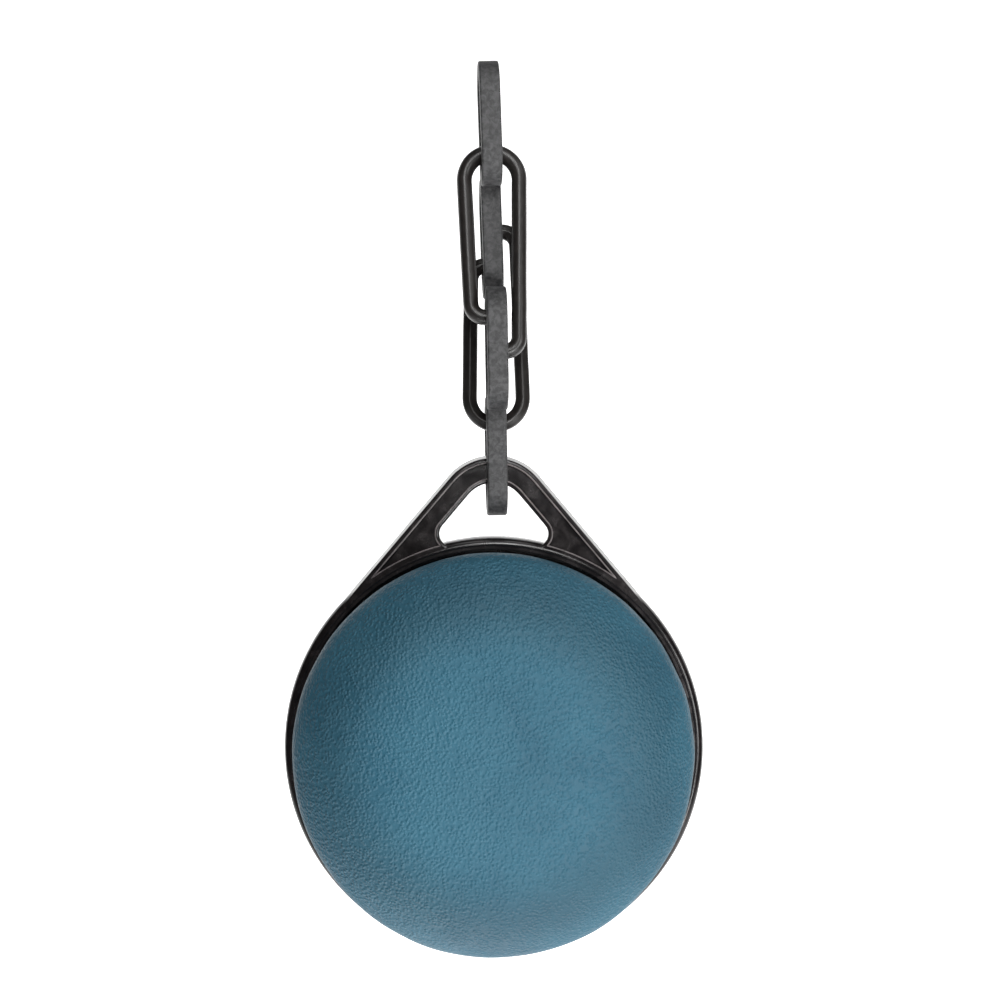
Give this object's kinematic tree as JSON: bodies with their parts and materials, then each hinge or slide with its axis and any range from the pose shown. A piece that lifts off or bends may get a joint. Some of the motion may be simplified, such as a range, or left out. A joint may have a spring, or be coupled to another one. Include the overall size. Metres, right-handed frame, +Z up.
{
  "type": "hanging padded disc",
  "caption": "Round padded disc in a moulded dish with an eye, hung from a short chain of hooked plastic links.",
  "frame": {"origin": "inside top of the upper loop of the top link, where the object hangs", "axes": "+Z up along the chain, -Y the way the padded face looks, +X to the right as the face is looked at"},
  "size_m": [0.102, 0.0354, 0.2137],
  "materials": {
    "link_plastic": "gloss with dulled edges",
    "holder_plastic": "gloss",
    "pad_skin": "pebbled, satin",
    "pad_foam": "open foam",
    "pad_board": "fibreboard",
    "fixing_disc": "adhesive foam"
  },
  "bodies": {
    "top_link": {"top_s_link": "link_plastic"},
    "front_link": {"front_oval_link": "link_plastic"},
    "rear_link": {"rear_oval_link": "link_plastic"},
    "bottom_link": {"bottom_s_link": "link_plastic"},
    "padded_disc": {"holder": "holder_plastic", "pad_skin": "pad_skin", "pad_foam": "pad_foam", "pad_board": "pad_board", "fixing_disc": "fixing_disc"}
  },
  "joints": [
    {"name": "front_link_swing", "type": "hinge", "parent": "top_link", "child": "front_link", "pos_m": [0.00087, 0.00003, -0.024], "axis": [0, 1, 0], "range_deg": [-20, 20]},
    {"name": "rear_link_swing", "type": "hinge", "parent": "top_link", "child": "rear_link", "pos_m": [0.00111, 0.01127, -0.04857], "axis": [0, 1, 0], "range_deg": [-20, 20]},
    {"name": "bottom_link_swing", "type": "hinge", "parent": "front_link", "child": "bottom_link", "pos_m": [0.00175, 0.00002, -0.05095], "axis": [0, 1, 0], "range_deg": [-20, 20]},
    {"name": "disc_tilt", "type": "hinge", "parent": "bottom_link", "child": "padded_disc", "pos_m": [0.00132, 0.01124, -0.092], "axis": [1, 0, 0], "range_deg": [-15, 18]}
  ],
  "couplings": [
    {"joint": "rear_link_swing", "follows": "front_link_swing", "ratio": 1},
    {"joint": "bottom_link_swing", "follows": "front_link_swing", "ratio": -1}
  ]
}
